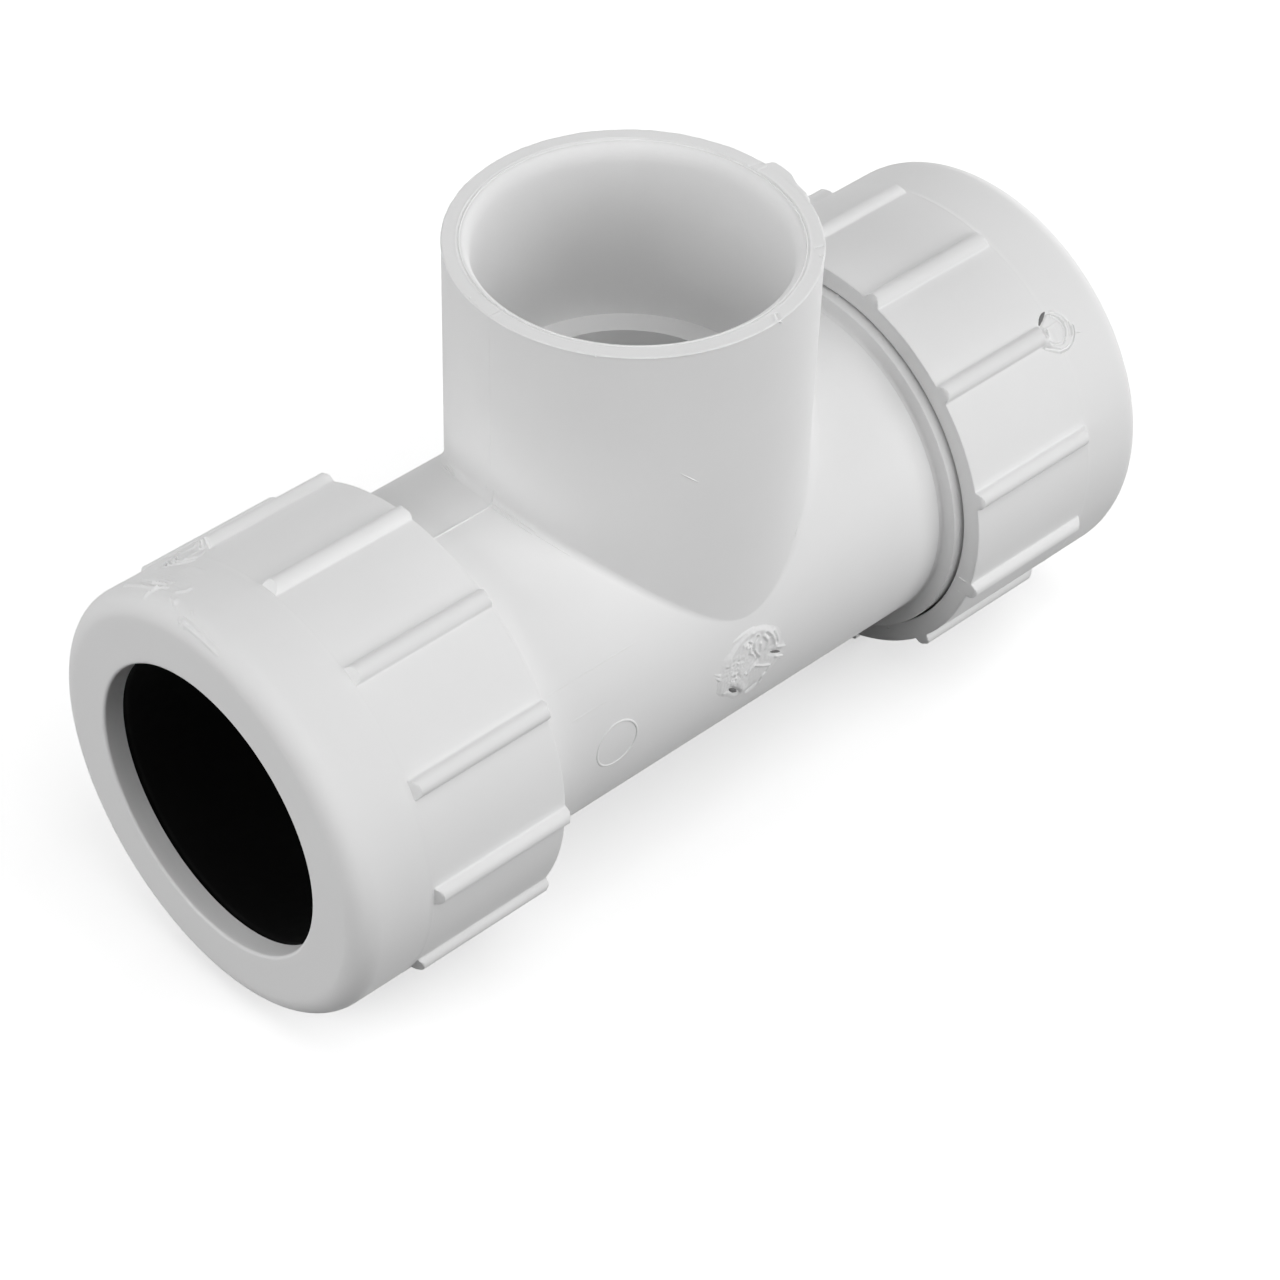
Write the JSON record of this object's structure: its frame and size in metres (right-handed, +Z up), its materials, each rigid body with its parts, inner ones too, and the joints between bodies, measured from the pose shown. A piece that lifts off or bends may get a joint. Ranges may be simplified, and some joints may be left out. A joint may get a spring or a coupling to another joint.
{
  "type": "compression tee",
  "caption": "Straight pipe tee with screwed compression nuts and rubber sealing rings at the ends of its run, and a plain glued socket on its branch.",
  "frame": {"origin": "where the axis of the run crosses the axis of the branch", "axes": "+X along the run towards the right nut, +Z up the branch out of its socket, and -Y towards the side that faces the viewer"},
  "size_m": [0.169, 0.0746, 0.1011],
  "materials": {
    "white_pvc": "satin moulded",
    "black_rubber": "matt"
  },
  "bodies": {
    "tee": {"tee_body": "white_pvc"},
    "left_ring": {"left_gasket": "black_rubber"},
    "left_nut": {"left_nut": "white_pvc"},
    "right_ring": {"right_gasket": "black_rubber"},
    "right_nut": {"right_nut": "white_pvc"}
  },
  "joints": [
    {"name": "left_ring_slide", "type": "slide", "parent": "tee", "child": "left_ring", "axis": [-1, 0, 0], "range_m": [0, 0.0201]},
    {"name": "left_nut_turn", "type": "hinge", "parent": "left_ring", "child": "left_nut", "pos_m": [-0.065, 0, 0], "axis": [-1, 0, 0], "range_deg": [0, 1440]},
    {"name": "right_ring_slide", "type": "slide", "parent": "tee", "child": "right_ring", "axis": [1, 0, 0], "range_m": [0, 0.0201]},
    {"name": "right_nut_turn", "type": "hinge", "parent": "right_ring", "child": "right_nut", "pos_m": [0.064, 0, 0], "axis": [1, 0, 0], "range_deg": [0, 1440]}
  ],
  "couplings": [
    {"joint": "left_ring_slide", "follows": "left_nut_turn", "m_per_rad": 0.00079577},
    {"joint": "right_ring_slide", "follows": "right_nut_turn", "m_per_rad": 0.00079577}
  ]
}
